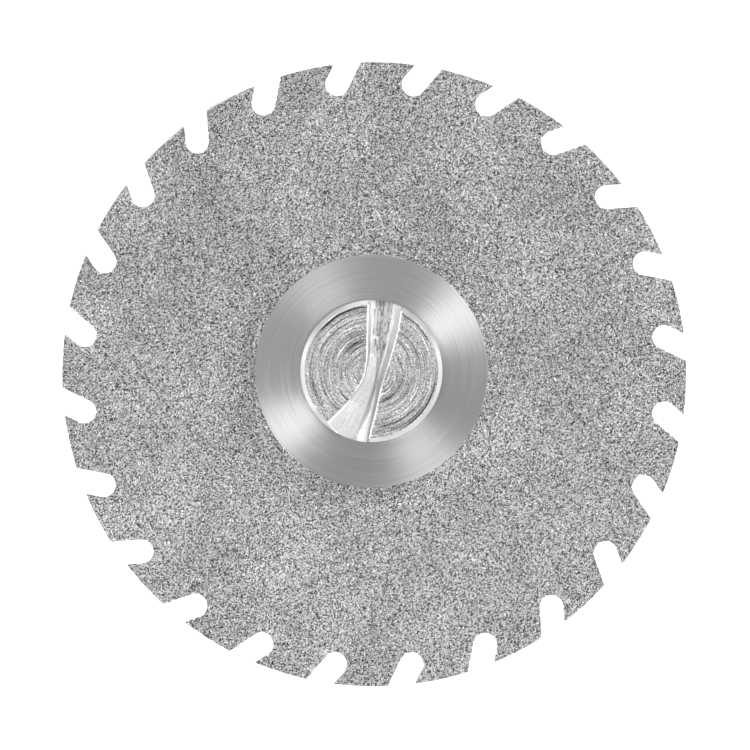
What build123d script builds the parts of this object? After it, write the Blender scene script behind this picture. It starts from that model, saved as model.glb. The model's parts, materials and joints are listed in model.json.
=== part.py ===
from build123d import *
from math import atan2, cos, degrees, radians, sin, sqrt, tan
import os

# A serrated diamond disc clamped on a handpiece mandrel. Millimetres and degrees.
# The tool is drawn in its own frame: Z runs along its axis towards the front, Y is up in the front view and
# Z = 0 is the blade's front face. It is laid down at the end, on two teeth and the far end of the shank.

# The blade: a steel disc with grit on it and slanted, round-bottomed gullets
blade_diameter = 22.0
blade_thickness = 0.30
tooth_count = 24
gullet_width = 0.83
gullet_depth = 1.11
gullet_slant = 33.2
first_gullet_angle = 7.3

# The clamping faces on both sides of the blade
clamp_diameter = 8.2
clamp_edge_chamfer = 0.07

# The ring in front of the blade
ring_thickness = 1.0
ring_web = 0.30

# The screw: a cheese head that stands a little proud of the ring, and an M1.6 stem
head_diameter = 5.0
head_proud = 0.20
head_chamfer = 0.15
stem_diameter = 1.6
stem_tip_chamfer = 0.2
thread_engagement = 4.0

# The driver slot: each edge is a straight line, given by where it crosses Y = 0 and how far it leans from Y
slot_depth = 0.45
slot_left_crossing = -0.145
slot_left_lean = 1.3
slot_right_crossing = 0.495
slot_right_lean = 13.6
slot_flare_crossing = 0.047
slot_flare_lean = 41.9
slot_floor_left_crossing = -0.10
slot_floor_left_upper_lean = 7.5
slot_floor_left_lower_lean = 9.5
slot_floor_right_crossing = 0.37
slot_floor_right_upper_lean = 5.9
slot_floor_right_lower_lean = 13.1

# The mandrel, from the flange back to the end of the shank
flange_thickness = 0.8
cone_length = 2.2
neck_diameter = 3.4
neck_length = 2.5
neck_corner_radius = 1.2
shoulder_length = 0.7
shank_diameter = 2.35
shank_length = 36.8
shank_end_chamfer = 0.35
tapped_hole_spare = 0.8
drill_point_angle = 118.0

# Clearances. The blade's bore is loose on the stem, and the blade has slid sideways until it all but touches.
head_clearance = 0.012
stem_clearance = 0.05
thread_clearance = 0.015
bore_play = 0.16
bore_touch_clearance = 0.012
blade_slide_angle = -47.7

# What follows from them
blade_radius = blade_diameter / 2
clamp_radius = clamp_diameter / 2
head_radius = head_diameter / 2
stem_radius = stem_diameter / 2
shank_radius = shank_diameter / 2
tooth_pitch = 360 / tooth_count
blade_back = -blade_thickness
head_seat = ring_web
head_top = ring_thickness + head_proud
shank_back = blade_back - flange_thickness - cone_length - neck_length - shoulder_length - shank_length
blade_slide = bore_play - bore_touch_clearance
blade_centre = (blade_slide * cos(radians(blade_slide_angle)), blade_slide * sin(radians(blade_slide_angle)))


def slot_wall_angle(side):
    """Angle, from a gullet's bottom centre as seen at the blade's middle, of the point where one wall meets the
    rim. side is 1 for the wall on the anticlockwise side and -1 for the other."""
    lean = radians(gullet_slant)
    bottom = blade_radius - gullet_depth + gullet_width / 2
    x = bottom + side * gullet_width / 2 * sin(lean)
    y = side * gullet_width / 2 * cos(lean)
    along = x * cos(lean) - y * sin(lean)
    reach = sqrt(along**2 + blade_radius**2 - x**2 - y**2) - along
    return degrees(atan2(y - reach * sin(lean), x + reach * cos(lean)))


def gullet():
    """One gullet's outline at angle 0: a round end at the bottom and a straight run out past the rim."""
    bottom = blade_radius - gullet_depth + gullet_width / 2
    run = 2 * gullet_depth / cos(radians(gullet_slant))
    round_end = Circle(gullet_width / 2)
    straight = Pos(run / 2, 0) * Rectangle(run, gullet_width)
    return Pos(bottom, 0) * Rot(Z=-gullet_slant) * (round_end + straight)


def diamond_blade():
    gullets = [Rot(Z=first_gullet_angle + tooth_pitch * k) * gullet() for k in range(tooth_count)]
    outline = Circle(blade_radius) - gullets
    bore = Circle(stem_radius + bore_play)
    return Pos(*blade_centre) * extrude(outline - bore, -blade_thickness)


def clamp_ring():
    """A turned ring with a recess for the head, a thin web under the head and a hole for the stem."""
    edge = clamp_edge_chamfer
    recess = head_radius + head_clearance
    hole = stem_radius + stem_clearance
    section = Polygon(
        (hole, 0),
        (clamp_radius, 0),
        (clamp_radius, ring_thickness - edge),
        (clamp_radius - edge, ring_thickness),
        (recess, ring_thickness),
        (recess, ring_web),
        (hole, ring_web),
        align=None,
    )
    return revolve(Plane.XZ * section, Axis.Z)


def slot_edge(crossing, lean, y):
    """A point on a straight slot edge, at height y."""
    return (crossing + y * tan(radians(lean)), y)


def slot_corner(crossing, lean, other_crossing, other_lean):
    """Where two slot edges cross."""
    y = (other_crossing - crossing) / (tan(radians(lean)) - tan(radians(other_lean)))
    return slot_edge(crossing, lean, y)


def driver_slot():
    """The cut for the driver: its mouth is a straight slot whose lower left side flares out, its floor is a
    narrower strip, and the walls between them lean, the flared one so far that it is a ramp."""
    top, bottom = head_diameter, -head_diameter
    mouth = Polygon(
        slot_edge(slot_left_crossing, slot_left_lean, top),
        slot_corner(slot_left_crossing, slot_left_lean, slot_flare_crossing, slot_flare_lean),
        slot_edge(slot_flare_crossing, slot_flare_lean, bottom),
        slot_edge(slot_right_crossing, slot_right_lean, bottom),
        slot_edge(slot_right_crossing, slot_right_lean, 0),
        slot_edge(slot_right_crossing, slot_right_lean, top),
        align=None,
    )
    floor = Polygon(
        slot_edge(slot_floor_left_crossing, slot_floor_left_upper_lean, top),
        slot_edge(slot_floor_left_crossing, slot_floor_left_upper_lean, 0),
        slot_edge(slot_floor_left_crossing, slot_floor_left_lower_lean, bottom),
        slot_edge(slot_floor_right_crossing, slot_floor_right_lower_lean, bottom),
        slot_edge(slot_floor_right_crossing, slot_floor_right_lower_lean, 0),
        slot_edge(slot_floor_right_crossing, slot_floor_right_upper_lean, top),
        align=None,
    )
    return loft([Pos(Z=head_top) * mouth, Pos(Z=head_top - slot_depth) * floor], ruled=True)


def clamp_screw():
    """Head, stem and pointed-off tip turned as one piece, with the driver slot cut across the head."""
    tip = blade_back - thread_engagement
    section = Polygon(
        (0, head_top),
        (head_radius - head_chamfer, head_top),
        (head_radius, head_top - head_chamfer),
        (head_radius, head_seat),
        (stem_radius, head_seat),
        (stem_radius, tip + stem_tip_chamfer),
        (stem_radius - stem_tip_chamfer, tip),
        (0, tip),
        align=None,
    )
    return revolve(Plane.XZ * section, Axis.Z) - driver_slot()


def mandrel():
    """Flange, cone, neck and shank turned from one bar, then drilled and tapped for the screw. The corner between
    cone and neck is rounded, as the turning tool leaves it."""
    edge = clamp_edge_chamfer
    rim_back = blade_back - flange_thickness
    cone_back = rim_back - cone_length
    neck_back = cone_back - neck_length
    shank_front = neck_back - shoulder_length
    section = Polygon(
        (0, blade_back),
        (clamp_radius, blade_back),
        (clamp_radius, rim_back + edge),
        (clamp_radius - edge, rim_back),
        (neck_diameter / 2, cone_back),
        (neck_diameter / 2, neck_back),
        (shank_radius, shank_front),
        (shank_radius, shank_back + shank_end_chamfer),
        (shank_radius - shank_end_chamfer, shank_back),
        (0, shank_back),
        align=None,
    )
    corner = section.vertices().sort_by_distance((neck_diameter / 2, cone_back))[0]
    body = revolve(Plane.XZ * fillet(corner, neck_corner_radius), Axis.Z)
    hole_radius = stem_radius + thread_clearance
    hole_end = blade_back - thread_engagement - tapped_hole_spare
    hole = Polygon(
        (0, blade_back),
        (hole_radius, blade_back),
        (hole_radius, hole_end),
        (0, hole_end - hole_radius / tan(radians(drill_point_angle / 2))),
        align=None,
    )
    return body - revolve(Plane.XZ * hole, Axis.Z)


def lie_down(pieces):
    """Lays the tool on a surface at Z = 0: on the back corners of the two teeth beside its lowest gullet, and on
    the far end of the shank. The heavy side, away from which the blade has slid, comes lowest. The front then
    looks along -Y and a little up, and the bottom centre of the tool's box is the origin."""
    mouth_start, mouth_end = slot_wall_angle(-1), slot_wall_angle(1)
    mouth_middle = first_gullet_angle + (mouth_start + mouth_end) / 2
    heavy_side = blade_slide_angle + 180
    lowest_mouth = mouth_middle + round((heavy_side - mouth_middle) / tooth_pitch) * tooth_pitch
    roll = 270 - lowest_mouth
    slide_down = -blade_slide * sin(radians(blade_slide_angle + roll))
    teeth_below_axis = blade_radius * cos(radians((mouth_end - mouth_start) / 2)) + slide_down
    span = blade_back - shank_back - shank_end_chamfer
    tilt = degrees(atan2(teeth_below_axis - shank_radius, span))
    laid = {name: Rot(X=90 - tilt) * Rot(Z=roll) * piece for name, piece in pieces.items()}
    box = Compound([solid for piece in laid.values() for solid in piece.solids()]).bounding_box()
    centre = box.center()
    return {name: Pos(-centre.X, -centre.Y, -box.min.Z) * piece for name, piece in laid.items()}


tool = lie_down(
    {
        "diamond_blade": diamond_blade(),
        "clamp_ring": clamp_ring(),
        "clamp_screw": clamp_screw(),
        "mandrel": mandrel(),
    }
)
os.makedirs("parts", exist_ok=True)
for name, piece in tool.items():
    export_step(piece, f"parts/{name}.step")
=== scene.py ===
import json

import bmesh
import bpy
import numpy as np
from mathutils import Matrix, Vector


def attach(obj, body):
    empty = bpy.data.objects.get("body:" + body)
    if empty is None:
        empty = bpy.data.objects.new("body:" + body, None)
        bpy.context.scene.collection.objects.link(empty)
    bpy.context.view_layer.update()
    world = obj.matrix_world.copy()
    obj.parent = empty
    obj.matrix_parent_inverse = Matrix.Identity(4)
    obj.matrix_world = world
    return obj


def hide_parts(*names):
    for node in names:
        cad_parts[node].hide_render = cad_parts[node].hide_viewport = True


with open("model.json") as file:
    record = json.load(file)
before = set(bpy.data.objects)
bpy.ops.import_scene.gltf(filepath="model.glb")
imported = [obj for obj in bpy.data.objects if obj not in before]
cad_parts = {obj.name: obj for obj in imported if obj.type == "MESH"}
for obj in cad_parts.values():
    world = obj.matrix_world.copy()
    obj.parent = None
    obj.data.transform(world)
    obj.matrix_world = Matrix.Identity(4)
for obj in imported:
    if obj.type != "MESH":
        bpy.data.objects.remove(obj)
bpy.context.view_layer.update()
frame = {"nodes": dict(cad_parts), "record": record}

# How the tool lies.
# Every shape below is worked out in the tool's own frame, in millimetres: Z runs along its axis towards the
# front, X is to the right and Y up as the camera sees it, and Z = 0 is the blade's front face. The packed
# shank gives the axis along which the tool lies, and it lies turned about that axis.
MM = 0.001
turn_about_axis = np.radians(145.005)
shank = frame["record"]["mounts"][0]
to_front = -np.array(shank["axis"])
level = np.array([1.0, 0.0, 0.0])
steepest = np.cross(to_front, level)
to_right = np.cos(turn_about_axis) * level + np.sin(turn_about_axis) * steepest
to_top = np.cos(turn_about_axis) * steepest - np.sin(turn_about_axis) * level
tool_axes = np.stack([to_right, to_top, to_front])


def node_points(name):
    """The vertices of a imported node, as rows of X, Y and Z."""
    mesh = frame["nodes"][name].data
    points = np.empty(3 * len(mesh.vertices), np.float32)
    mesh.vertices.foreach_get("co", points)
    return points.reshape(-1, 3).astype(float)


axis_point = np.array(shank["pos_m"])
front_level = (node_points("diamond_blade") @ to_front).max()
origin = axis_point + to_front * (front_level - axis_point @ to_front)


def lay(points):
    """From the tool's frame, in millimetres, to metres: the origin plus each coordinate times its axis."""
    return origin + MM * np.asarray(points, float) @ tool_axes


# The camera.
# It looks straight at the front along the tool's axis, from far away and through a long lens. The blade sits
# a little off the axis, because its bore is loose on the screw's stem and it has slid as far as it can.
blade_slide = 0.148
blade_slide_angle = np.radians(-47.7)
blade_centre = blade_slide * np.array([np.cos(blade_slide_angle), np.sin(blade_slide_angle)])
picture_width = 26.43
picture_offset = np.array([0.0243, -0.026])
camera_distance = 600.0
seen_from, seen_to = 10.0, 20000.0
sensor_width = 36.0

camera = bpy.data.objects.new("camera", bpy.data.cameras.new("camera"))
camera.data.sensor_width = sensor_width
camera.data.lens = sensor_width * camera_distance / picture_width
camera.data.clip_start, camera.data.clip_end = seen_from * MM, seen_to * MM
camera_place = lay([*(blade_centre + picture_offset), camera_distance])
camera_rows = np.column_stack([to_right, to_top, to_front, camera_place]).tolist()
camera.matrix_world = Matrix([*camera_rows, [0, 0, 0, 1]])
bpy.context.scene.collection.objects.link(camera)
bpy.context.scene.camera = camera


# The blade.
# A spring steel disc with 24 slanted, round-bottomed gullets, plated with nickel that holds diamond grit on
# both faces, on the rim and in the gullets. Under the clamping faces it is bare. The grit is a triangular
# lattice of facets, with jittered places and random heights, that is cut to the toothed outline.
blade_radius = 11.0
blade_thickness = 0.30
tooth_count = 24
gullet_width = 0.83
gullet_depth = 1.11
gullet_slant = np.radians(33.2)
first_gullet_angle = np.radians(7.3)
bore_radius = 0.96
hub_radius = 3.8
grain_spacing = 0.090
grain_relief = 0.021
rim_relief = 0.009
rim_rows = 3
# In shares of the spacing: how near the outline a point is moved onto it, how far inside one has to be to be
# jittered and by how much, and in shares of its square the least area of a facet
outline_reach = 0.45
jitter_from = 0.5
grain_jitter = 0.28
least_area = 0.02
lattice_margin = 3
outline_rounds = 4
on_outline = 1e-4
almost_zero = 1e-9
grit_seed = 11

tooth_pitch = 2 * np.pi / tooth_count
gullet_bottom = np.array([blade_radius - gullet_depth + gullet_width / 2, 0.0])
gullet_run = np.array([np.cos(gullet_slant), -np.sin(gullet_slant)])
gullet_across = np.array([np.sin(gullet_slant), np.cos(gullet_slant)])


def turned(points, angles):
    """Points of the blade's plane, turned anticlockwise about its centre, each by its own angle."""
    c, s = np.cos(angles), np.sin(angles)
    return np.stack([points[..., 0] * c - points[..., 1] * s, points[..., 0] * s + points[..., 1] * c], -1)


def outline(points):
    """How far each point lies outside the blade's outline (less than 0 is inside), and the direction
    straight out of it. A gullet is the ground within half its width of a line that starts at its bottom and
    runs out past the rim, the rim and the hub are circles, and the outline is where the largest of the three
    distances is 0."""
    radius = np.hypot(points[:, 0], points[:, 1])
    nearest = np.round((np.arctan2(points[:, 1], points[:, 0]) - first_gullet_angle) / tooth_pitch)
    angles = first_gullet_angle + tooth_pitch * nearest
    local = turned(points, -angles) - gullet_bottom
    ahead, aside = local @ gullet_run, local @ gullet_across
    from_bottom = np.maximum(np.hypot(ahead, aside), almost_zero)
    beside = ahead[:, None] > 0
    inwards = np.where(beside, np.sign(aside)[:, None] * gullet_across, local / from_bottom[:, None])
    in_gullet = gullet_width / 2 - np.where(beside[:, 0], np.abs(aside), from_bottom)
    outwards = points / np.maximum(radius, almost_zero)[:, None]
    distances = np.stack([in_gullet, radius - blade_radius, hub_radius - radius])
    directions = np.stack([turned(-inwards, angles), outwards, -outwards])
    largest = distances.argmax(0)
    each = np.arange(len(points))
    return distances[largest, each], directions[largest, each]


def onto_outline(points, reach=np.inf):
    """Moves the points within reach of the outline onto it, each by its distance and straight at it. That
    takes a few rounds, because beside a corner the nearest stretch changes."""
    for _ in range(outline_rounds):
        distance, direction = outline(points)
        near = np.abs(distance) < reach
        points[near] -= distance[near, None] * direction[near]
    return points


def tooth_corners():
    """Where the two walls of every gullet meet the rim: from the foot of a wall, along it until the radius
    is the blade's."""
    side = np.repeat([-1.0, 1.0], tooth_count)[:, None]
    foot = gullet_bottom + side * gullet_width / 2 * gullet_across
    along = foot @ gullet_run
    reach = np.sqrt(along**2 + blade_radius**2 - (foot**2).sum(1)) - along
    angles = first_gullet_angle + tooth_pitch * np.tile(np.arange(tooth_count), 2)
    return turned(foot + reach[:, None] * gullet_run, angles)


def grain_lattice(rng):
    """Rows of points, every other row shifted by half a step, and the triangles between them. Points near
    the outline are moved onto it, one goes to each tooth corner, the ones well inside are jittered, and only
    the triangles inside the outline are kept."""
    across = int(blade_radius / grain_spacing) + lattice_margin
    up = int(across * 2 / np.sqrt(3)) + 1
    row, column = np.meshgrid(np.arange(-up, up + 1), np.arange(-across, across + 1), indexing="ij")
    x = (column + (row % 2) / 2) * grain_spacing
    y = row * grain_spacing * np.sqrt(3) / 2
    points = np.stack([x.ravel(), y.ravel()], 1)
    index = np.arange(x.size).reshape(x.shape)
    a, b, c, d = (i.ravel() for i in (index[:-1, :-1], index[:-1, 1:], index[1:, 1:], index[1:, :-1]))
    shifted = (row[:-1, :-1] % 2 == 1).ravel()[:, None]
    triangles = np.concatenate([
        np.where(shifted, np.stack([a, c, d], 1), np.stack([a, b, d], 1)),
        np.where(shifted, np.stack([a, b, c], 1), np.stack([b, c, d], 1)),
    ])
    points = onto_outline(points, outline_reach * grain_spacing)
    corners = tooth_corners()
    taken = ((corners[:, None] - points[None]) ** 2).sum(2).argmin(1)
    points[taken] = corners
    distance = outline(points)[0]
    inner = distance < -jitter_from * grain_spacing
    points[inner] += rng.uniform(-grain_jitter, grain_jitter, (inner.sum(), 2)) * grain_spacing
    corner = points[triangles]
    edge_1, edge_2 = corner[:, 1] - corner[:, 0], corner[:, 2] - corner[:, 0]
    area = (edge_1[:, 0] * edge_2[:, 1] - edge_1[:, 1] * edge_2[:, 0]) / 2
    within = (distance[triangles] < on_outline).all(1) & (outline(corner.mean(1))[0] < 0)
    return points, triangles[within & (area > least_area * grain_spacing**2)]


def open_edges(points, triangles):
    """The edges that only one triangle uses, in that triangle's direction, at the rim and at the hub."""
    edges = np.concatenate([triangles[:, [0, 1]], triangles[:, [1, 2]], triangles[:, [2, 0]]])
    many = edges.max() + 1
    edges = edges[~np.isin(edges[:, 0] * many + edges[:, 1], edges[:, 1] * many + edges[:, 0])]
    at_hub = np.hypot(*points[edges].mean(1).T) < hub_radius + grain_spacing
    return edges[~at_hub], edges[at_hub]


def halved_rim(points, triangles):
    """Gives every rim edge a point at its middle, moved onto the outline, and makes its triangle two."""
    rim = open_edges(points, triangles)[0]
    middle = onto_outline(points[rim].mean(1))
    many = len(points) + len(rim)
    keys = rim[:, 0] * many + rim[:, 1]
    order = np.argsort(keys)
    for k in range(3):
        edge = triangles[:, k] * many + triangles[:, (k + 1) % 3]
        at = order[np.searchsorted(keys[order], edge).clip(max=len(keys) - 1)]
        split = keys[at] == edge
        number = len(points) + at[split]
        second = triangles[split]
        second[:, k] = number
        triangles[split, (k + 1) % 3] = number
        triangles = np.concatenate([triangles, second])
    return np.concatenate([points, middle]), triangles


def blade_mesh():
    """Both faces from the one lattice, each with grain heights of its own. The wall between them is rows of
    grains that stand back from the outline by a random depth, and a flat land joins the hub's edge to the
    bore, whose points are the hub's drawn in to its radius."""
    rng = np.random.default_rng(grit_seed)
    flat, triangles = halved_rim(*grain_lattice(rng))
    rim, hub = open_edges(flat, triangles)
    many = len(flat)
    on_hub = np.unique(hub)
    front = -grain_relief * rng.random(many)
    back = -blade_thickness + grain_relief * rng.random(many)
    front[on_hub], back[on_hub] = 0.0, -blade_thickness
    vertices = [np.column_stack([flat, front]), np.column_stack([flat, back])]
    faces = [triangles, triangles[:, ::-1] + many]

    def strip(upper, lower):
        """Two triangles between an edge and the same edge one row further, facing out of the blade."""
        faces.append(np.stack([upper[:, 0], lower[:, 0], lower[:, 1]], 1))
        faces.append(np.stack([upper[:, 0], lower[:, 1], upper[:, 1]], 1))

    def new_row(points):
        """Adds a row of vertices and returns the number of its first."""
        first = sum(len(v) for v in vertices)
        vertices.append(points)
        return first

    on_rim, place = np.unique(rim, return_inverse=True)
    place = place.reshape(rim.shape)
    out = outline(flat[on_rim])[1]
    upper = rim
    for share in np.arange(1, rim_rows) / rim_rows:
        depth = rim_relief * rng.random(len(on_rim))
        height = (1 - share) * front[on_rim] + share * back[on_rim]
        lower = place + new_row(np.column_stack([flat[on_rim] - depth[:, None] * out, height]))
        strip(upper, lower)
        upper = lower
    strip(upper, rim + many)

    place = np.searchsorted(on_hub, hub)
    bore = flat[on_hub] * (bore_radius / np.hypot(*flat[on_hub].T))[:, None]
    bore_front = place + new_row(np.column_stack([bore, np.zeros(len(bore))]))
    bore_back = place + new_row(np.column_stack([bore, np.full(len(bore), -blade_thickness)]))
    strip(hub, bore_front)
    strip(bore_front, bore_back)
    strip(bore_back, hub + many)

    vertices, faces = np.concatenate(vertices), np.concatenate(faces)
    used, faces = np.unique(faces, return_inverse=True)
    return vertices[used] + [*blade_centre, 0.0], faces.reshape(-1, 3)


def new_piece(name, vertices, faces, slot, *nodes):
    """A mesh object made of vertices in the tool's own frame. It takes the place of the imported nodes."""
    mesh = bpy.data.meshes.new(name)
    mesh.from_pydata(lay(vertices), [], faces)
    mesh.validate()
    piece = bpy.data.objects.new(name, mesh)
    bpy.context.scene.collection.objects.link(piece)
    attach(piece, "root")
    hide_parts(*nodes)
    return piece


def linear(colour):
    """An sRGB colour, written as six hex digits, as linear red, green, blue and 1."""
    levels = np.array([int(colour[i:i + 2], 16) for i in (0, 2, 4)]) / 255
    return (*np.where(levels <= 0.04045, levels / 12.92, ((levels + 0.055) / 1.055) ** 2.4).tolist(), 1.0)


def add(tree, kind, inputs=(), **settings):
    """Adds a node, makes its settings and fills its inputs: a socket is linked, and a value is set."""
    node = tree.nodes.new(kind)
    for name, value in settings.items():
        setattr(node, name, value)
    for name, value in dict(inputs).items():
        if isinstance(value, bpy.types.NodeSocket):
            tree.links.new(value, node.inputs[name])
        else:
            node.inputs[name].default_value = value
    return node


def new_material(name, **sockets):
    """A material with an empty tree, its output and a Principled shader with the given uniform sockets."""
    material = bpy.data.materials.new(name)
    material.use_nodes = True
    tree = material.node_tree
    tree.nodes.clear()
    shader = add(tree, "ShaderNodeBsdfPrincipled", {k.replace("_", " "): v for k, v in sockets.items()})
    add(tree, "ShaderNodeOutputMaterial", {"Surface": shader.outputs["BSDF"]})
    return material, tree, shader


def uneven_level(tree, levels, inputs, **settings):
    """A level that wanders between two. Nearly all of a noise lies between 0.3 and 0.7, so that stretch is
    spread over them."""
    noise = add(tree, "ShaderNodeTexNoise", inputs, **settings).outputs["Fac"]
    level = add(tree, "ShaderNodeMapRange", {"Value": noise, "From Min": 0.3, "From Max": 0.7,
                                             "To Min": levels[0], "To Max": levels[1]})
    return level.outputs["Result"]


def about_axis(tree, where):
    """How a place lies about the tool's axis: as seen from the origin, the way round the axis (the front's
    direction crossed with it), and the radius (the length of that)."""
    offset = add(tree, "ShaderNodeVectorMath", {0: where, 1: origin}, operation="SUBTRACT").outputs["Vector"]
    around = add(tree, "ShaderNodeVectorMath", {0: to_front, 1: offset}, operation="CROSS_PRODUCT")
    radius = add(tree, "ShaderNodeVectorMath", {0: around.outputs["Vector"]}, operation="LENGTH")
    return offset, around.outputs["Vector"], radius.outputs["Value"]


# Diamond grit held by electroplated nickel: every grain has its own grey and gloss, a few have a painted
# glint, and the plating is a little cloudy. The mesh can't have enough facets for real grains, so these
# cells, which are smaller, give the grains. Beside the ring they are painted lighter, to lift the shade that
# the ring casts.
grit_dark, grit_light = linear("262626"), linear("C1C1C1")
grit_gloss = (0.42, 0.62)
grain_size = 0.032
cloud_size = 3.0
cloud_tones = (0.84, 1.14)
painted_glint_from, painted_glint_tone = 0.85, 1.6
ring_shade_lift_inner, ring_shade_lift_outer, painted_light_tone = 4.0, 5.7, 1.16
material, tree, shader = new_material("nickel_plated_diamond_grit", Metallic=1.0)
where = add(tree, "ShaderNodeTexCoord").outputs["Object"]
cells = add(tree, "ShaderNodeTexVoronoi", {"Vector": where, "Scale": 1 / (grain_size * MM)})
shade = add(tree, "ShaderNodeSeparateColor", {"Color": cells.outputs["Color"]})
share = add(tree, "ShaderNodeMapRange", {"Value": shade.outputs["Red"]}, interpolation_type="SMOOTHSTEP")
tone = add(tree, "ShaderNodeMix", {"Factor": share.outputs["Result"], "A": grit_dark, "B": grit_light},
           data_type="RGBA")
cloud = uneven_level(tree, cloud_tones, {"Vector": where, "Scale": 1 / (cloud_size * MM), "Detail": 3.0})
# Painted glints: a few cells get a brighter colour, standing in for grains that catch the light
painted_glint = add(tree, "ShaderNodeMapRange", {"Value": shade.outputs["Blue"], "From Min": painted_glint_from,
                                         "To Min": 1.0, "To Max": painted_glint_tone})
radius = about_axis(tree, where)[2]
# Painted light: beside the ring the grit's colour is raised by up to 16 percent, against the ring's shade on
# it
painted_light_by_ring = add(tree, "ShaderNodeMapRange", {"Value": radius, "From Min": ring_shade_lift_inner * MM,
                                          "From Max": ring_shade_lift_outer * MM,
                                          "To Min": painted_light_tone, "To Max": 1.0},
             interpolation_type="SMOOTHSTEP")
cloud_and_painted_light = add(tree, "ShaderNodeMath", {0: cloud, 1: painted_light_by_ring.outputs["Result"]}, operation="MULTIPLY")
lit = add(tree, "ShaderNodeMath", {0: cloud_and_painted_light.outputs["Value"], 1: painted_glint.outputs["Result"]},
          operation="MULTIPLY")
grit_colour_with_painted_light = add(tree, "ShaderNodeVectorMath", {0: tone.outputs["Result"], "Scale": lit.outputs["Value"]},
              operation="SCALE")
gloss = add(tree, "ShaderNodeMapRange", {"Value": shade.outputs["Green"], "To Min": grit_gloss[0],
                                         "To Max": grit_gloss[1]})
tree.links.new(grit_colour_with_painted_light.outputs["Vector"], shader.inputs["Base Color"])
tree.links.new(gloss.outputs["Result"], shader.inputs["Roughness"])

blade = new_piece("grit_blade", *blade_mesh(), "diamond_grit", "diamond_blade")
blade.data.materials.append(material)


# The clamping ring.
# Turned from stainless bar: a flat ring with a recess for the screw's head and a thin web under it, which
# the head presses onto the blade. Its face was cut in one pass and falls a little towards the rim.
clamp_radius = 4.1
ring_thickness = 1.0
ring_web = 0.30
face_fall = 0.075
face_edge = 0.010
recess_radius = 2.504
recess_edge = 0.006
stem_hole_radius = 0.85
groove_step = 0.022
groove_depth = 0.0010
ring_segments = 240
groove_seed = 21
merge_distance = 0.0003
sharp_corner = 25


def turned_profile(corners):
    """A turned profile as rows of radius and height: every corner, given with the spacing of the points on
    the side that follows it, and those points, which divide the side evenly."""
    rows = []
    for (r0, z0, step), (r1, z1, _) in zip(corners, corners[1:]):
        count = max(1, round(np.hypot(r1 - r0, z1 - z0) / step))
        share = np.linspace(0, 1, count, endpoint=False)[:, None]
        rows.append((1 - share) * [r0, z0] + share * [r1, z1])
    return np.concatenate([*rows, [corners[-1][:2]]])


def grooved(profile, depth, seed):
    """A turned profile with every point but the ends sunk by a random depth, square to the side it is on."""
    along = np.gradient(profile, axis=0)
    inwards = np.stack([-along[:, 1], along[:, 0]], 1) / np.hypot(*along.T)[:, None]
    sunk = depth * np.random.default_rng(seed).random(len(profile))
    sunk[[0, -1]] = 0
    return profile + sunk[:, None] * inwards


def lathe(profile, count):
    """A turned surface as a grid: each profile point goes round the axis, x = r cos a and y = r sin a."""
    a = np.linspace(0, 2 * np.pi, count + 1)
    r, z = profile[:, :1], profile[:, 1:]
    return np.stack([r * np.cos(a), r * np.sin(a), z + 0 * a], -1)


def joined(*grids):
    """Vertices and four-sided faces of several grids of points, grid after grid."""
    faces, first = [], 0
    for grid in grids:
        index = first + np.arange(grid.shape[0] * grid.shape[1]).reshape(grid.shape[:2])
        corners = [index[:-1, :-1], index[:-1, 1:], index[1:, 1:], index[1:, :-1]]
        faces.append(np.stack(corners, -1).reshape(-1, 4))
        first += index.size
    return np.concatenate([grid.reshape(-1, 3) for grid in grids]), np.concatenate(faces)


def closed_and_smooth(piece, sharp_from):
    """Merges the seams, turns the faces outwards, and shades smoothly up to that angle between faces."""
    work = bmesh.new()
    work.from_mesh(piece.data)
    bmesh.ops.remove_doubles(work, verts=work.verts, dist=merge_distance * MM)
    bmesh.ops.recalc_face_normals(work, faces=work.faces)
    work.to_mesh(piece.data)
    work.free()
    piece.data.shade_smooth()
    piece.data.set_sharp_from_angle(angle=np.radians(sharp_from))


def turned_steel(name, tone, pitch, contrast, breaks, **sockets):
    """Steel cut on a lathe. The tangent runs round the axis and a quarter turn lays the highlight across it,
    so light fans out across the marks and stays narrow along them. Their tone is a noise that changes with
    radius plus height, once in a pitch, and slowly round the axis: the more breaks, the shorter the marks.
    Returns the material, its tree and shader, the colour and the marks (0 to 1)."""
    material, tree, shader = new_material(name, Metallic=1.0, Anisotropic_Rotation=0.25, **sockets)
    offset, around, radius = about_axis(tree, add(tree, "ShaderNodeTexCoord").outputs["Object"])
    tree.links.new(around, shader.inputs["Tangent"])
    height = add(tree, "ShaderNodeVectorMath", {0: to_front, 1: offset}, operation="DOT_PRODUCT")
    run = add(tree, "ShaderNodeMath", {0: radius, 1: height.outputs["Value"]}, operation="ADD")
    steps = add(tree, "ShaderNodeMath", {0: run.outputs["Value"], 1: 1 / (pitch * MM)}, operation="MULTIPLY")
    way = add(tree, "ShaderNodeVectorMath", {0: around}, operation="NORMALIZE")
    slow = add(tree, "ShaderNodeVectorMath", {0: way.outputs["Vector"], "Scale": breaks}, operation="SCALE")
    marks = uneven_level(tree, (0.0, 1.0), {"Vector": slow.outputs["Vector"], "W": steps.outputs["Value"],
                                            "Scale": 1.0, "Detail": 2.0}, noise_dimensions="4D")
    low, high = (tuple(c * (1 + k * contrast) for c in linear(tone)[:3]) + (1.0,) for k in (-1, 1))
    colour = add(tree, "ShaderNodeMix", {"Factor": marks, "A": low, "B": high}, data_type="RGBA")
    tree.links.new(colour.outputs["Result"], shader.inputs["Base Color"])
    return material, tree, shader, colour.outputs["Result"], marks


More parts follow.
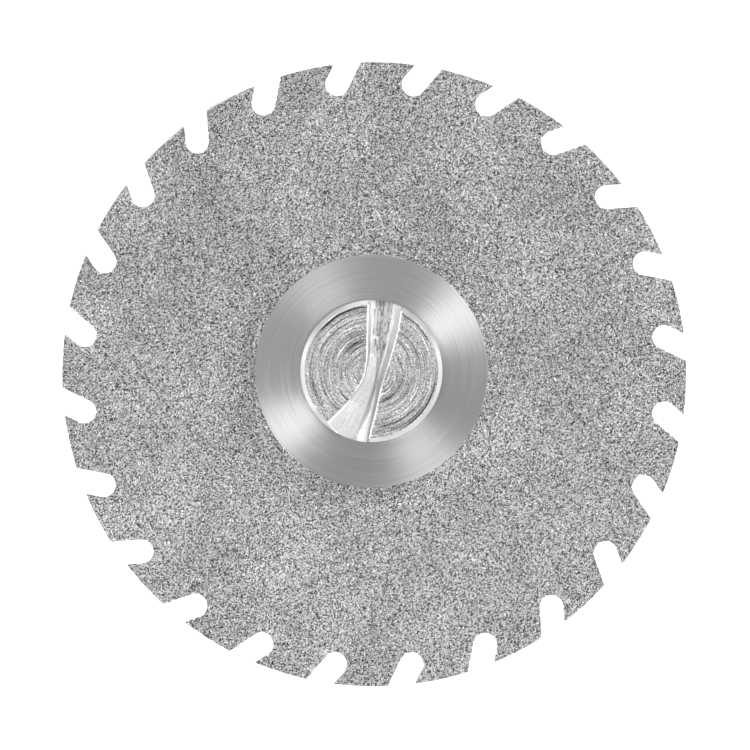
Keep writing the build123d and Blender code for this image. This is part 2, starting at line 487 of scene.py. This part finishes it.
profile = turned_profile([
    (stem_hole_radius, 0, 1.0),
    (clamp_radius, 0, 0.05),
    (clamp_radius, ring_thickness - face_fall - face_edge, 0.02),
    (clamp_radius - face_edge, ring_thickness - face_fall, groove_step),
    (recess_radius + recess_edge, ring_thickness, 0.015),
    (recess_radius, ring_thickness - recess_edge, 0.1),
    (recess_radius, ring_web, 0.5),
    (stem_hole_radius, ring_web, 0.5),
    (stem_hole_radius, 0, 1.0),
])
surface = lathe(grooved(profile, groove_depth, groove_seed), ring_segments)
ring = new_piece("face_turned_ring", *joined(surface), "turned_steel", "clamp_ring")
closed_and_smooth(ring, sharp_corner)

# Stainless steel, face turned with a fine feed: hardly any colour of its own, but concentric marks that draw
# the light out into fans. Its gloss changes from mark to mark as well.
ring_gloss = (0.37, 0.47)
material, tree, shader, _, marks = turned_steel(
    "face_turned_stainless_steel", tone="A9A9A9", pitch=0.034, contrast=0.09, breaks=1.5, Anisotropic=0.9)
gloss = add(tree, "ShaderNodeMapRange", {"Value": marks, "To Min": ring_gloss[0], "To Max": ring_gloss[1]})
tree.links.new(gloss.outputs["Result"], shader.inputs["Roughness"])
ring.data.materials.append(material)


# The screw.
# A slotted cheese head on a threaded stem, turned from stainless bar. The head's face has coarse, irregular
# turning marks and a bright chamfer. Screwdrivers have worn its slot: the walls lean, the lower left one is
# a broad ramp, and thin burrs stand along its edges.
head_radius = 2.5
head_chamfer = 0.15
face_radius = head_radius - head_chamfer
head_top = 1.2
head_seat = 0.30
stem_radius = 0.8
stem_tip = -4.3
tip_chamfer = 0.2
stem_rows = 12
chamfer_rows = 6
face_rows = 190
land_columns = 110
head_sharp_corner = 35
# Where the slot's two edges are at fifteen heights, and the length over which a bend in them is rounded
slot_heights = [-3.0, -2.5, -2.0, -1.5, -1.0, -0.5, -0.25, 0.0, 0.25, 0.5, 1.0, 1.5, 2.0, 2.5, 3.0]
slot_left = [-2.90, -2.30, -1.77, -1.27, -0.79,
             -0.41, -0.27, -0.21, -0.175, -0.145,
             -0.125, -0.12, -0.11, -0.09, -0.07]
slot_right = [-0.22, -0.12, -0.01, 0.125, 0.235,
              0.35, 0.43, 0.515, 0.59, 0.665,
              0.805, 0.935, 1.02, 1.07, 1.11]
edge_rounding = 0.3
edge_step = 0.005
# Turning marks of the face, as whole rings, broken rings and short scores: depth, spacing, and the noise's
# start and seed. Then how often the broken ones change in a radian, how long the scores are, and over what
# width all fade at the chamfer.
face_marks = [(0.0040, 0.085, 2, 31), (0.0045, 0.050, 9, 32), (0.0035, 0.030, 40, 33)]
broken_ring_changes, score_length, mark_fade = 1.6, 0.15, 0.03
# The deepest ones: radius, angle of the middle, half of the angle that each one reaches over, and width.
# Each wavers a little to and fro, and is drawn darker.
deep_marks = [
    (2.27, 118, 34, 0.040), (2.08, 113, 30, 0.030), (1.86, 130, 22, 0.024), (1.52, 128, 24, 0.024),
    (1.36, 116, 26, 0.028), (1.12, 132, 22, 0.024), (0.93, 118, 24, 0.024), (0.62, 214, 26, 0.024),
    (1.78, 218, 26, 0.024), (1.67, 208, 24, 0.024), (1.32, 228, 22, 0.024), (2.12, 205, 20, 0.024),
    (2.25, 45, 26, 0.036), (2.10, 38, 16, 0.024), (1.72, 30, 26, 0.024), (1.40, 24, 30, 0.024),
    (1.05, 20, 24, 0.024), (2.27, 322, 30, 0.026), (2.18, 305, 28, 0.030), (1.97, 298, 26, 0.042),
    (2.04, 324, 16, 0.034), (1.62, 310, 24, 0.024), (1.36, 300, 24, 0.024), (1.14, 294, 24, 0.028),
    (0.84, 318, 22, 0.028),
]
deep_mark_depth = 0.005
deep_mark_darkening = 0.74
waver, waver_turn, waver_seed = 0.015, 7, 34
# Where fine rings between them show: the sectors where the top soft box's fans fall, so there they are
# turning marks and painted light at once. Angle of the middle and half of the angle reached over. A ring
# changes its tone once in a turn of ring_change.
top_box_fan_sectors = [(318, 50), (120, 34)]
ring_spacing, fan_ring_contrast = 0.037, 0.44
ring_change, ring_start, ring_seed = 60, 3, 35
# Stretches of the chamfer with painted shade, and painted light where the last value is below 0, for how the
# soft boxes light the chamfer round the head: angle of the middle, half of the angle reached over, and how
# much darker
chamfer_light_and_shade = [(46, 30, 0.42), (128, 34, 0.36), (81, 6, 0.25), (348, 50, -0.15), (166, 22, -0.08)]
# How steeply the marks and the painted stretches end, and the cells of the noise after which it repeats
mark_end, stretch_end = 2, 1.5
noise_cells = 256
# The burrs: how high and wide they are, between which two heights of the head they grow on the left and
# right, the distances from the edge of the close columns, and the share of a short arc that those may take
burr_height = 0.024
burr_width = 0.030
left_burr_growth, right_burr_growth = (-1.0, -0.4), (-4.0, -3.5)
burr_columns = np.array([0.0, 0.010, 0.020, 0.032, 0.050])
burr_share = 0.4


def smooth_noise(x, y, seed):
    """Random values from -1 to 1 at whole numbers of x and y, with smooth steps between them."""
    table = np.random.default_rng(seed).uniform(-1, 1, (noise_cells, noise_cells))
    x0, y0 = np.floor(x).astype(int), np.floor(y).astype(int)
    fx, fy = (f * f * (3 - 2 * f) for f in (x - x0, y - y0))
    x0, x1, y0, y1 = (i % noise_cells for i in (x0, x0 + 1, y0, y0 + 1))
    lower = table[x0, y0] * (1 - fx) + table[x1, y0] * fx
    upper = table[x0, y1] * (1 - fx) + table[x1, y1] * fx
    return lower * (1 - fy) + upper * fy


def turn_from(middle, angle):
    """How far angles, in radians, are turned from one in degrees: the difference in degrees, -180 to 180."""
    return (np.degrees(angle) - middle + 180) % 360 - 180


def fading(turn, reach, steepness):
    """1 around the middle and 0 from the reach on, with a straight slope between: steeper is shorter."""
    return np.clip(steepness - steepness * np.abs(turn) / reach, 0, 1)


def gentle_curve(values):
    """A slot edge as close points: straight runs between the given heights, averaged over the rounding."""
    height = np.arange(slot_heights[0], slot_heights[-1], edge_step)
    count = round(edge_rounding / edge_step)
    weights = np.hanning(count + 1)
    across = np.interp(height, slot_heights, values)
    padded = np.pad(across, count // 2, mode="reflect", reflect_type="odd")
    return height, np.convolve(padded, weights / weights.sum(), mode="valid")


def edge_rows(values):
    """Points along a slot edge, from where it leaves the head at the bottom to where it leaves it at the
    top. Their radii go down in even steps to the edge's nearest point to the axis, and then up again."""
    height, across = gentle_curve(values)
    radius = np.hypot(across, height)
    nearest = radius.argmin()
    rows = np.concatenate([np.linspace(radius[nearest], face_radius, face_rows, endpoint=False),
                           np.linspace(face_radius, head_radius, chamfer_rows + 1)])
    down = np.interp(-rows[::-1], -radius[:nearest + 1], height[:nearest + 1])
    up = np.interp(rows[1:], radius[nearest:], height[nearest:])
    rows = np.concatenate([down, up])
    return np.stack([np.interp(rows, height, across), rows], 1)


def deep_mark_share(radius, angle):
    """How much of a deep mark there is at each point: 1 on its middle line, less beside it by a bell curve
    of its width, and fading towards its ends."""
    share = np.zeros_like(radius)
    for at, middle, reach, width in deep_marks:
        turn = turn_from(middle, angle)
        across = (radius - at + waver * smooth_noise(turn / waver_turn, 0 * turn + at, waver_seed)) / width
        share = np.maximum(share, np.exp(-across**2) * fading(turn, reach, mark_end))
    return share


def turning_marks(radius, angle):
    """How far the face stands above or below its level: three noises, less the deep marks, and nothing on
    the chamfer. Whole rings change with the radius only, broken ones also with the angle, and short scores
    with the way round the axis, which is angle times radius."""
    ways = (0 * angle, angle * broken_ring_changes, angle * radius / score_length)
    marks = sum(depth * smooth_noise(radius / spacing, start + way, seed)
                for (depth, spacing, start, seed), way in zip(face_marks, ways))
    marks = marks - deep_mark_depth * deep_mark_share(radius, angle)
    return marks * np.clip((face_radius - radius) / mark_fade, 0, 1)


def top_tone_and_painted_light(radius, angle):
    """How bright the head's top is: 1, darker in the deep marks, with fine rings of noise added on the face
    in the sectors of the top soft box's fans as partly painted light, and less the painted shade on
    stretches of the chamfer."""
    clean = 1 - deep_mark_darkening * deep_mark_share(radius, angle)
    # Partly painted light: tone rings only in the sectors where the top soft box's fans fall
    for middle, reach in top_box_fan_sectors:
        turn = turn_from(middle, angle)
        rings = smooth_noise(radius / ring_spacing, ring_start + turn / ring_change, ring_seed)
        clean = clean + fan_ring_contrast * rings * (radius < face_radius) * fading(turn, reach, mark_end)
    # Painted shade, and painted light where the value is below 0, on stretches of the chamfer
    for middle, reach, painted_shading in chamfer_light_and_shade:
        stretch_shading = (radius > face_radius) * painted_shading * fading(turn_from(middle, angle), reach, stretch_end)
        clean = clean - stretch_shading
    return clean


def land(edge, upwards, burr_growth):
    """The flat of the head on one side of the slot and the chamfer beside it, and its tone with painted
    light and
    shade: arcs about the axis, anticlockwise from one half of the slot's edge to its other half, with close
    columns
    at both ends. There the burr stands: its height falls off from the edge by a bell curve, and grows from 0
    to
    1 between two heights. Upwards means that the arcs start on the lower half."""
    half = len(edge) // 2
    lower, upper = edge[half::-1], edge[half:]
    start, end = (lower, upper) if upwards else (upper, lower)
    radius = np.hypot(*upper.T)
    first = np.arctan2(start[:, 1], start[:, 0])
    sweep = (np.arctan2(end[:, 1], end[:, 0]) - first) % (2 * np.pi)
    sweep[0] = 0
    room = np.minimum(1, burr_share * sweep * radius / (2 * burr_columns[-1]))
    near = room[:, None] * burr_columns / radius[:, None]
    share = np.linspace(0, 1, land_columns)[1:-1]
    between = near[:, -1:] + share * (sweep[:, None] - 2 * near[:, -1:])
    angle = first[:, None] + np.concatenate([near, between, sweep[:, None] - near[:, ::-1]], 1)
    radius = radius[:, None] + 0 * angle
    x, y = radius * np.cos(angle), radius * np.sin(angle)
    lean = np.gradient(edge[:, 0], edge[:, 1])
    away = np.abs(x - np.interp(y, edge[:, 1], edge[:, 0])) / np.hypot(1, np.interp(y, edge[:, 1], lean))
    grown = np.clip((y - burr_growth[0]) / (burr_growth[1] - burr_growth[0]), 0, 1)
    within = np.clip((head_radius - radius) / head_chamfer, 0, 1)
    burr = grown * within * np.exp(-(away / burr_width) ** 2)
    level = head_top - np.maximum(radius - face_radius, 0)
    height = level + turning_marks(radius, angle) * (1 - burr) + burr_height * burr
    return np.dstack([x, y, height]), np.dstack([top_tone_and_painted_light(radius, angle), burr, 0 * x])


left_edge, right_edge = edge_rows(slot_left), edge_rows(slot_right)
left_land, left_tone_and_painted_light = land(left_edge, upwards=False, burr_growth=left_burr_growth)
right_land, right_tone_and_painted_light = land(right_edge, upwards=True, burr_growth=right_burr_growth)

# Six lengthwise creases of the slot, from its left edge to its right one, at seven heights: each one's share
# of the width and its depth. Then the columns of points, and for the five strips between them a value that
# is partly the worn steel's own tone and partly painted light and shade.
crease_heights = [-2.5, -1.2, -0.3, 0.1, 0.6, 1.2, 2.5]
crease_shares = [
    [0, 0, 0, 0, 0, 0, 0],
    [0.03, 0.04, 0.07, 0.07, 0.11, 0.10, 0.06],
    [0.70, 0.66, 0.58, 0.50, 0.20, 0.22, 0.28],
    [0.72, 0.79, 0.68, 0.64, 0.64, 0.63, 0.64],
    [0.97, 0.88, 0.78, 0.755, 0.79, 0.80, 0.87],
    [1, 1, 1, 1, 1, 1, 1],
]
crease_depths = [
    [0, 0, 0, 0, 0, 0, 0],
    [0.02, 0.05, 0.15, 0.19, 0.24, 0.29, 0.24],
    [0.30, 0.26, 0.27, 0.28, 0.285, 0.36, 0.42],
    [0.32, 0.40, 0.42, 0.42, 0.44, 0.45, 0.45],
    [0.14, 0.385, 0.38, 0.38, 0.36, 0.32, 0.22],
    [0, 0, 0, 0, 0, 0, 0],
]
crease_columns = [5, 20, 24, 16, 7]
strip_tone_and_painted_light = [
    [0.80, 0.74, 0.85, 0.82, 0.82, 0.92, 1.1],
    [0.82, 0.80, 0.76, 0.70, 0.62, 1.0, 1.15],
    [0.80, 0.75, 0.85, 0.80, 0.60, 0.62, 0.58],
    [1.3, 1.16, 0.98, 1.1, 1.1, 1.05, 1.1],
    [0.60, 0.65, 0.84, 0.92, 0.92, 0.90, 0.90],
]
# How fast the slot's ends bend onto the head's side, and the points of the arc there
end_bend = 12
arc_points = 200
# Scratches and dark patches, coarse and fine: how strong they are, how many there are across and along the
# slot, and the noise of each. Scratches fade near the slot's edges and are weaker in its lower part, and the
# patches are on the middle strip's upper part.
scratches = [(0.010, 26, 6, 41), (0.006, 55, 16, 42)]
scratch_fade = 0.1
rough_from, rough_over, rough_least = 0.45, 0.2, 0.3
patches = [(1.0, 22, 26, 43), (0.8, 45, 60, 44)]
patch_strip, patch_reach, patch_end = 2.5, 1.2, 2
patch_from, patch_over = 0.5, 0.12
patch_dirt, patch_base, patch_gain = 0.55, 0.35, 1.3
strip_steepness = 2


def arc(start, end, radius):
    """Points of a circle about the axis, anticlockwise from one point's direction to another's."""
    first, last = np.arctan2(start[1], start[0]), np.arctan2(end[1], end[0])
    angles = np.linspace(first, first + (last - first) % (2 * np.pi), arc_points)
    return radius * np.stack([np.cos(angles), np.sin(angles)], -1)


def along_slot(height, rows):
    """A column of values for each row, which runs straight between its values at the crease heights."""
    return np.stack([np.interp(height, crease_heights, row) for row in rows], 1)


def between_creases(values, parts):
    """From the columns for the creases to those for all points: evenly from each crease to the next."""
    columns = [values[:, i:i + 1] * (1 - t) + values[:, i + 1:i + 2] * t for i, t in enumerate(parts)]
    return np.concatenate([*columns, values[:, -1:]], 1)


def layered_noise(layers, across, length):
    """The sum of several noises on the shares of the slot's width and length, each with its strength."""
    return sum(strength * smooth_noise(across * wide, length * long, seed)
               for strength, wide, long, seed in layers)


def slot_grid():
    """The slot: lines from its left edge to its right one, bent at both ends of the slot onto the head's
    side, and sunk between the creases. Lengthwise scratches are a noise that changes fast across and slowly
    along. Also each point's tone with painted light and shade, which is a strip's own value on its middle
    line and halfway to the next strip's at a crease, and its shares of the slot's width and length."""
    along = np.linspace(0, 1, len(left_edge))
    height = (left_edge[:, 1] + right_edge[:, 1]) / 2
    parts = [np.linspace(0, 1, n, endpoint=False)[None] for n in crease_columns]
    across = between_creases(along_slot(height, crease_shares), parts)
    depth = between_creases(along_slot(height, crease_depths), parts)
    flat = (1 - across[..., None]) * left_edge[:, None] + across[..., None] * right_edge[:, None]
    bottom = arc(left_edge[0], right_edge[0], head_radius)
    top = arc(right_edge[-1], left_edge[-1], head_radius)[::-1]
    share = np.linspace(0, 1, arc_points)
    for end, row, weight in ((bottom, 0, (1 - along) ** end_bend), (top, -1, along**end_bend)):
        bent = np.stack([np.interp(across[row], share, end[:, i]) for i in (0, 1)], 1)
        flat = flat + weight[:, None, None] * (bent - flat[row])[None]
    length = along[:, None] + 0 * across
    rough = np.clip((length - rough_from) / rough_over, rough_least, 1)
    scratch = layered_noise(scratches, across, length) * rough * np.clip(depth / scratch_fade, 0, 1)
    left_top = np.concatenate([left_land[::-1, -1, 2], left_land[1:, 0, 2]])
    right_top = np.concatenate([right_land[::-1, 0, 2], right_land[1:, -1, 2]])
    brim = (1 - across) * left_top[:, None] + across * right_top[:, None]
    sunk = np.minimum(brim, head_top - depth + scratch)
    sunk[:, 0], sunk[:, -1] = left_top, right_top

    steps = [i + np.clip(strip_steepness * (t - 0.5) + 0.5, 0, 1) for i, t in enumerate(parts)]
    strip = np.concatenate([*steps, [[len(parts)]]], 1)[0]
    # Painted light and shade: each strip's own value, above 1 where a strip lies in shade
    strips = along_slot(height, strip_tone_and_painted_light)
    clean = np.stack([np.interp(strip, np.arange(len(parts)) + 0.5, row) for row in strips])
    upper_floor = (np.clip(patch_end * (patch_reach - np.abs(strip - patch_strip)), 0, 1)
                   * np.clip((length - patch_from) / patch_over, 0, 1))
    patch = np.clip(patch_base + patch_gain * layered_noise(patches, across, length), 0, 1)
    clean = clean * (1 - patch_dirt * upper_floor * patch)
    nothing = 0 * across
    return (np.dstack([flat, sunk]), np.dstack([clean, nothing, nothing]),
            np.dstack([across, length, nothing]))


slot, slot_tone_and_painted_light, slot_shares = slot_grid()

# The head's side, the stem and its tip hang below the brim, whose points are drawn in to each radius
brim = np.concatenate([left_land[-1], slot[0], right_land[-1], slot[-1, ::-1]])
outward = brim[:, :2] / np.hypot(*brim[:, :2].T)[:, None]
stem_heights = np.linspace(head_seat, stem_tip + tip_chamfer, stem_rows)
lower = [(head_radius, head_seat), *((stem_radius, z) for z in stem_heights),
         (stem_radius - tip_chamfer, stem_tip), (0, stem_tip)]
below = np.stack([brim] + [np.column_stack([r * outward, np.full(len(brim), z)]) for r, z in lower])


def face_and_chamfer(grid):
    """The two parts of a land: the flat face, and the chamfer outside it."""
    return grid[:face_rows + 1], grid[face_rows:]


# Two maps for the patterns: the steel's tone with painted light and shade, and the shares of width and
# length in the slot
coarse, fine, worn = 0, 1, 2
grids = [*face_and_chamfer(left_land), *face_and_chamfer(right_land), slot, below]
finishes = [coarse, fine, coarse, fine, worn, fine]
tone_and_painted_light_maps = [*face_and_chamfer(left_tone_and_painted_light), *face_and_chamfer(right_tone_and_painted_light), slot_tone_and_painted_light, 0 * below + 1]
shares = [*(0 * grid for grid in grids[:4]), slot_shares, 0 * below]
vertices, faces = joined(*grids)
screw = new_piece("slotted_screw", vertices, faces, "screw_steel", "clamp_screw")
finish_of_face = np.repeat(finishes, [(len(grid) - 1) * (grid.shape[1] - 1) for grid in grids])
screw.data.polygons.foreach_set("material_index", finish_of_face.astype(np.int32))
for name, values in (("clean", tone_and_painted_light_maps), ("shares", shares)):
    layer = screw.data.uv_layers.new(name=name)
    layer.data.foreach_set("uv", joined(*values)[0][faces.ravel(), :2].astype(np.float32).ravel())
closed_and_smooth(screw, head_sharp_corner)

fleck_size = 0.042
face_flecks, slot_flecks = (0.26, 1.64), (0.86, 1.14)
streak_tones = (0.52, 0.83)
streak_count, streak_length = 75.0, 5.0
burr_tone = linear("F0F0F0")


def flecks(tree, levels):
    """Fine flecks between two levels, where the tool or the driver has torn the steel."""
    where = add(tree, "ShaderNodeTexCoord").outputs["Object"]
    return uneven_level(tree, levels, {"Vector": where, "Scale": 1 / (fleck_size * MM), "Detail": 2.0})


def tone_and_painted_light_map(tree):
    """The head's map of the steel's tone with painted light and shade in it, and of how much of the burr
    there is.
    """
    read = add(tree, "ShaderNodeUVMap", uv_map="clean").outputs["UV"]
    parts = add(tree, "ShaderNodeSeparateXYZ", {"Vector": read})
    return parts.outputs["X"], parts.outputs["Y"]


# Stainless steel, turned coarsely with a blunt tool, which tears it: rings and flecks of tone cover the
# face, the deepest marks are darker, and the burrs are bare and bright. The head's map adds painted light
# and shade.
material, tree, shader, colour, _ = turned_steel(
    "coarsely_turned_screw_steel", tone="BBBBBB", pitch=0.030, contrast=0.48, breaks=1.5, Roughness=0.40,
    Anisotropic=0.4)
# The head's map: tone with painted light and shade in it, and the burr
clean, burr = tone_and_painted_light_map(tree)
level_of = add(tree, "ShaderNodeMath", {0: flecks(tree, face_flecks), 1: clean}, operation="MULTIPLY")
toned = add(tree, "ShaderNodeVectorMath", {0: colour, "Scale": level_of.outputs["Value"]}, operation="SCALE")
bared = add(tree, "ShaderNodeMix", {"Factor": burr, "A": toned.outputs["Vector"], "B": burr_tone},
            data_type="RGBA", clamp_result=True)
tree.links.new(bared.outputs["Result"], shader.inputs["Base Color"])
screw.data.materials.append(material)

# Stainless steel, turned finely: the chamfer, and the side and stem under it, are bright and nearly mirrors
material, tree, shader, colour, _ = turned_steel(
    "finely_turned_screw_steel", tone="D1D1D1", pitch=0.05, contrast=0.16, breaks=1.5, Roughness=0.18,
    Anisotropic=0.3)
# The head's map scales the colour, so stretches of the chamfer get painted shade and painted light
toned = add(tree, "ShaderNodeVectorMath", {0: colour, "Scale": tone_and_painted_light_map(tree)[0]}, operation="SCALE")
tree.links.new(toned.outputs["Vector"], shader.inputs["Base Color"])
screw.data.materials.append(material)

# Stainless steel that drivers have smeared along the slot: bright, with fine lengthwise streaks, and light
# fans out across them, so the tangent runs along the slot
material, tree, shader = new_material("driver_worn_screw_steel", Metallic=1.0, Anisotropic_Rotation=0.25,
                                      Roughness=0.50, Anisotropic=0.4)
lengthwise = add(tree, "ShaderNodeCombineXYZ", dict(zip("XYZ", to_top.tolist())))
tree.links.new(lengthwise.outputs["Vector"], shader.inputs["Tangent"])
share = add(tree, "ShaderNodeUVMap", uv_map="shares").outputs["UV"]
stretched = add(tree, "ShaderNodeVectorMath", {0: share, 1: (streak_count, streak_length, 0.0)},
                operation="MULTIPLY")
streaks = uneven_level(tree, streak_tones, {"Vector": stretched.outputs["Vector"], "Scale": 1.0,
                                            "Detail": 3.0})
streaked = add(tree, "ShaderNodeMath", {0: streaks, 1: flecks(tree, slot_flecks)}, operation="MULTIPLY")
# The head's map scales it: each strip's tone, with painted light and shade in it
level_of = add(tree, "ShaderNodeMath", {0: streaked.outputs["Value"], 1: tone_and_painted_light_map(tree)[0]},
               operation="MULTIPLY", use_clamp=True)
channels = dict.fromkeys(("Red", "Green", "Blue"), level_of.outputs["Value"])
toned = add(tree, "ShaderNodeCombineColor", channels)
tree.links.new(toned.outputs["Color"], shader.inputs["Base Color"])
screw.data.materials.append(material)


# The mandrel.
# One piece turned from stainless bar: a flange that backs the blade, a cone, a neck and a shoulder, and then
# the shank, which was ground to size. It is drilled and tapped from the front for the screw.
flange_back = -1.1
flange_edge = 0.07
cone_back = -3.3
neck_radius = 1.7
neck_back = -5.8
neck_corner = 1.2
corner_points = 24
shank_radius = 1.175
shank_front = -6.5
shank_back = -43.3
shank_chamfer = 0.35
tapped_radius = 0.815
tapped_back = -5.1
drill_half_angle = np.radians(59)
mandrel_groove_depth = 0.0008
mandrel_segments = 128
mandrel_seed = 51


def rounded(before, corner, after, radius, step):
    """The arc of that radius that rounds a corner of a profile, as corners with their spacing. Its middle is
    on the line that halves the corner's angle, as far out as the radius over the sine of half the angle."""
    before, corner, after = (np.array(p, float) for p in (before, corner, after))
    one, two = (p / np.hypot(*p) for p in (before - corner, after - corner))
    half = np.arccos(one @ two) / 2
    middle = corner + (one + two) / np.hypot(*(one + two)) * radius / np.sin(half)
    first = corner + one * radius / np.tan(half)
    last = corner + two * radius / np.tan(half)
    start, end = (np.arctan2(*(p - middle)[::-1]) for p in (first, last))
    turn = (end - start + np.pi) % (2 * np.pi) - np.pi
    angles = start + turn * np.linspace(0, 1, corner_points)
    return [(*point, step) for point in middle + radius * np.stack([np.cos(angles), np.sin(angles)], 1)]


blade_back = -blade_thickness
flange_corner = (clamp_radius - flange_edge, flange_back)
profile = turned_profile([
    (0, shank_back, 0.05),
    (shank_radius - shank_chamfer, shank_back, 0.04),
    (shank_radius, shank_back + shank_chamfer, 0.09),
    (shank_radius, shank_front, 0.04),
    (neck_radius, neck_back, 0.04),
    *rounded((neck_radius, neck_back), (neck_radius, cone_back), flange_corner, neck_corner, 0.04),
    (*flange_corner, 0.04),
    (clamp_radius, flange_back + flange_edge, 0.02),
    (clamp_radius, blade_back, 0.05),
    (tapped_radius, blade_back, 0.3),
    (tapped_radius, tapped_back, 0.6),
    (0, tapped_back - tapped_radius / np.tan(drill_half_angle), 0.3),
])
surface = lathe(grooved(profile, mandrel_groove_depth, mandrel_seed), mandrel_segments)
mandrel = new_piece("turned_mandrel", *joined(surface), "ground_steel", "mandrel")
closed_and_smooth(mandrel, sharp_corner)

# Stainless steel, turned and then ground round: grey, with a soft gloss and faint rings. Ground marks are
# too fine to show, so they are drawn at 0.05 mm.
material = turned_steel("turned_and_ground_steel", tone="ACACAC", pitch=0.05, contrast=0.10, breaks=0.3,
                        Roughness=0.30, Anisotropic=0.6)[0]
mandrel.data.materials.append(material)


# The floor.
# A wide sheet of white acrylic that is lit from inside, so the tool's shadow hardly shows on it. Its satin
# surface was cast, and it gives the eye nothing but white.
floor_half_width = 3000.0
floor_glow = 0.58
half = floor_half_width * MM
mesh = bpy.data.meshes.new("floor")
corners = [(-half, -half, 0), (half, -half, 0), (half, half, 0), (-half, half, 0)]
mesh.from_pydata(corners, [], [(0, 1, 2, 3)])
floor = bpy.data.objects.new("floor", mesh)
bpy.context.scene.collection.objects.link(floor)
material = new_material("white_lit_acrylic", Base_Color=linear("CCCCCC"), Emission_Color=linear("FFFFFF"),
                        Emission_Strength=floor_glow, Roughness=0.6)[0]
mesh.materials.append(material)


# The light.
# A studio with pale walls. It is darker behind the camera, so level metal looks grey and slanted metal
# bright, and a little darker overhead. Soft boxes left, right and above the lying tool, and a weak one up on
# its left side, draw bright fans on the turned faces.
room_tone, front_tone = 1.25, 0.35
front_edge, front_middle = np.cos(np.radians([80, 30]))
ceiling_edge, ceiling_middle = np.sin(np.radians([40, 75]))
ceiling_share = 0.82
box_from_front = np.radians(50)
box_distance = 500
box_size = 200
world = bpy.data.worlds.new("studio")
bpy.context.scene.world = world
world.use_nodes = True
tree = world.node_tree
tree.nodes.clear()
direction = add(tree, "ShaderNodeTexCoord").outputs["Generated"]
forward = add(tree, "ShaderNodeVectorMath", {0: to_front, 1: direction}, operation="DOT_PRODUCT")
wall = add(tree, "ShaderNodeMapRange", {"Value": forward.outputs["Value"], "From Min": front_edge,
                                        "From Max": front_middle, "To Min": room_tone, "To Max": front_tone},
           interpolation_type="SMOOTHSTEP")
height = add(tree, "ShaderNodeSeparateXYZ", {"Vector": direction})
ceiling = add(tree, "ShaderNodeMapRange", {"Value": height.outputs["Z"], "From Min": ceiling_edge,
                                           "From Max": ceiling_middle,
                                           "To Min": 1.0, "To Max": ceiling_share},
              interpolation_type="SMOOTHSTEP")
room = add(tree, "ShaderNodeMath", {0: wall.outputs["Result"], 1: ceiling.outputs["Result"]},
           operation="MULTIPLY")
sky = add(tree, "ShaderNodeBackground", {"Color": linear("FFFFFF"), "Strength": room.outputs["Value"]})
add(tree, "ShaderNodeOutputWorld", {"Surface": sky.outputs["Background"]})


def softbox(name, azimuth, power):
    """A square light that faces the origin, placed by its angle round the tool's axis, as the camera sees
    it: that far round from the right, then leant away from the front, and out by the distance."""
    azimuth = np.radians(azimuth)
    aside = np.sin(box_from_front)
    towards = np.array([aside * np.cos(azimuth), aside * np.sin(azimuth), np.cos(box_from_front)])
    light = bpy.data.objects.new(name, bpy.data.lights.new(name, "AREA"))
    light.data.shape, light.data.size, light.data.energy = "SQUARE", box_size * MM, power
    bpy.context.scene.collection.objects.link(light)
    light.rotation_mode = "QUATERNION"
    light.rotation_quaternion = Vector(towards @ tool_axes).to_track_quat("Z", "Y")
    light.location = lay(box_distance * towards)


softbox("left_softbox", azimuth=33, power=1.6)
softbox("right_softbox", azimuth=211, power=1.5)
softbox("top_softbox", azimuth=302, power=1.35)
softbox("side_softbox", azimuth=0, power=0.13)

bpy.context.scene.view_settings.view_transform = "Standard"
